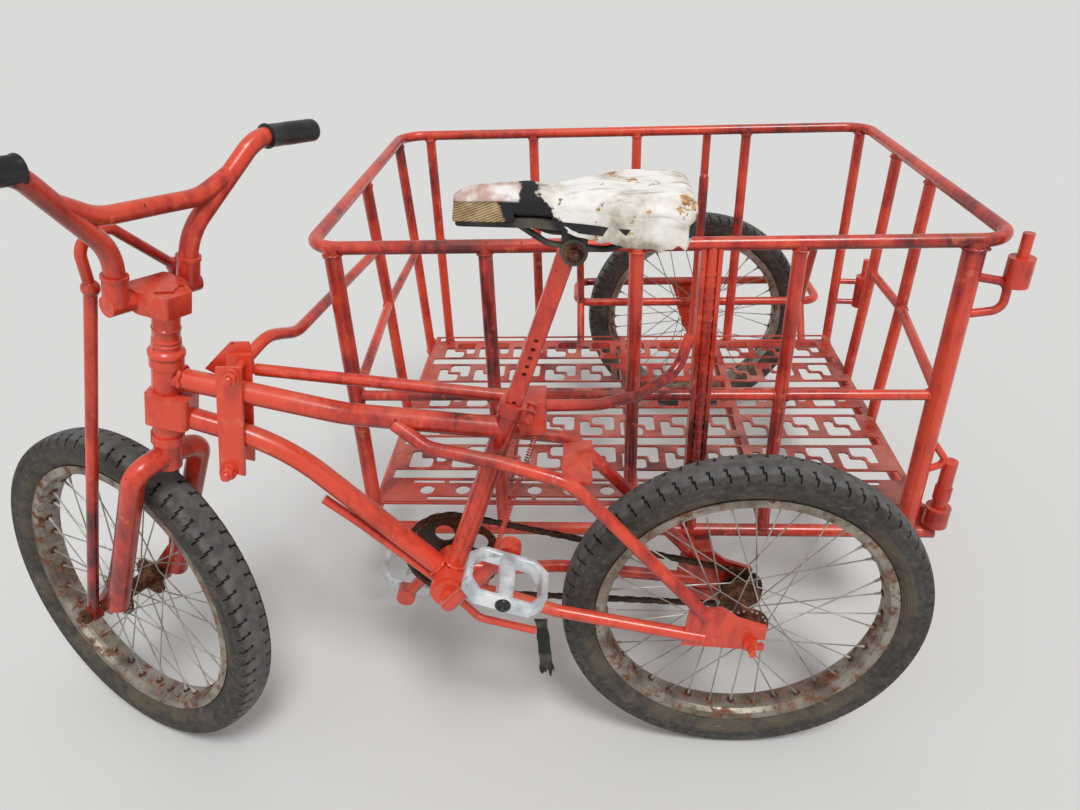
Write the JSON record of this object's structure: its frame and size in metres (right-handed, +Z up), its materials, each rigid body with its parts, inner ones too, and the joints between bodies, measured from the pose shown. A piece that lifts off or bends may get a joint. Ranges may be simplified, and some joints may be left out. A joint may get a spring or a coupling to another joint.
{
  "type": "cargo sidecar tricycle",
  "caption": "Pedal tricycle made from a small-wheeled bicycle with a welded pipe cargo cage on its right side, a stamped scrap floor and a third spoked wheel on an outrigger.",
  "frame": {"origin": "on the floor under the middle of the whole vehicle's box", "axes": "+X forward, +Y to the bicycle's left, away from the cage, +Z up"},
  "size_m": [1.5548, 1.3204, 0.9521],
  "materials": {
    "chain_steel": "oily and rusty",
    "faded_paint": "thin enamel, dusty and faded",
    "flap_rubber": "dull black rubber",
    "grip_rubber": "smooth black rubber",
    "pedal_alloy": "bare worn alloy",
    "red_paint": "hand brushed enamel, worn and dusty",
    "rim_steel": "dull plating with rust at the nipples",
    "rusty_steel": "bare steel, rusted",
    "seat_plastic": "black plastic shell",
    "seat_wrap": "torn cloth and tape, dirty",
    "spoke_steel": "dull galvanised wire",
    "tyre_rubber": "dusty moulded rubber"
  },
  "bodies": {
    "frame_and_cage": {"bent_link": "red_paint", "brake_flap": "flap_rubber", "brake_lever": "red_paint", "brake_spring": "rusty_steel", "cage_far_posts": "red_paint", "cage_front_posts": "red_paint", "cage_near_posts": "red_paint", "cage_rear_posts": "red_paint", "cage_rim": "red_paint", "chain": "chain_steel", "chain_stays": "red_paint", "corner_socket": "red_paint", "down_tube": "red_paint", "far_socket": "red_paint", "floor_beams": "red_paint", "floor_grating": "faded_paint", "front_clamp": "red_paint", "head_tube": "red_paint", "lower_brace": "red_paint", "lower_socket": "red_paint", "mid_rails": "red_paint", "outrigger": "red_paint", "outrigger_struts": "red_paint", "rear_axle": "rusty_steel", "rear_link": "red_paint", "ribbed_link": "red_paint", "ribbed_post": "red_paint", "saddle_cover": "seat_wrap", "saddle_pan": "seat_plastic", "seat_bracket": "red_paint", "seat_post": "red_paint", "seat_stays": "red_paint", "seat_tube": "red_paint", "side_axle": "rusty_steel", "top_tube": "red_paint", "upper_link": "red_paint", "wheel_uprights": "red_paint"},
    "steering": {"fork": "red_paint", "truss_rods": "red_paint", "front_axle": "rusty_steel", "stem": "red_paint", "handlebar": "red_paint", "grips": "grip_rubber"},
    "front_wheel": {"front_wheel_tyre": "tyre_rubber", "front_wheel_rim": "rim_steel", "front_wheel_spoked_hub": "spoke_steel"},
    "rear_wheel": {"rear_wheel_tyre": "tyre_rubber", "rear_wheel_rim": "rim_steel", "rear_wheel_spoked_hub": "spoke_steel"},
    "side_wheel": {"side_wheel_tyre": "tyre_rubber", "side_wheel_rim": "rim_steel", "side_wheel_spoked_hub": "spoke_steel"},
    "crank": {"crank": "red_paint", "chainring": "chain_steel"},
    "left_pedal": {"left_pedal": "pedal_alloy"},
    "right_pedal": {"right_pedal": "pedal_alloy"},
    "rear_sprocket": {"rear_sprocket": "chain_steel"}
  },
  "joints": [
    {"name": "steering", "type": "hinge", "parent": "frame_and_cage", "child": "steering", "pos_m": [0.3936, 0.4368, 0.546], "axis": [-0.2504, 0, 0.9681], "range_deg": [-24, 76]},
    {"name": "front_wheel_spin", "type": "hinge", "parent": "steering", "child": "front_wheel", "pos_m": [0.5387, 0.40348, 0.25776], "axis": [0.4244, 0.8988, 0.1098], "continuous": true},
    {"name": "rear_wheel_spin", "type": "hinge", "parent": "frame_and_cage", "child": "rear_wheel", "pos_m": [-0.3704, 0.4368, 0.258], "axis": [0, 1, 0], "continuous": true},
    {"name": "side_wheel_spin", "type": "hinge", "parent": "frame_and_cage", "child": "side_wheel", "pos_m": [-0.4104, -0.5732, 0.258], "axis": [0, 1, 0], "continuous": true},
    {"name": "crank_spin", "type": "hinge", "parent": "frame_and_cage", "child": "crank", "pos_m": [0.0416, 0.4368, 0.318], "axis": [0, 1, 0], "continuous": true},
    {"name": "left_pedal_spin", "type": "hinge", "parent": "crank", "child": "left_pedal", "pos_m": [-0.05323, 0.5208, 0.43679], "axis": [0, 1, 0], "continuous": true},
    {"name": "right_pedal_spin", "type": "hinge", "parent": "crank", "child": "right_pedal", "pos_m": [0.13643, 0.3528, 0.19921], "axis": [0, 1, 0], "continuous": true},
    {"name": "rear_sprocket_spin", "type": "hinge", "parent": "frame_and_cage", "child": "rear_sprocket", "pos_m": [-0.3704, 0.3928, 0.258], "axis": [0, 1, 0], "continuous": true}
  ],
  "couplings": [
    {"joint": "rear_sprocket_spin", "follows": "crank_spin", "ratio": 2.25}
  ]
}
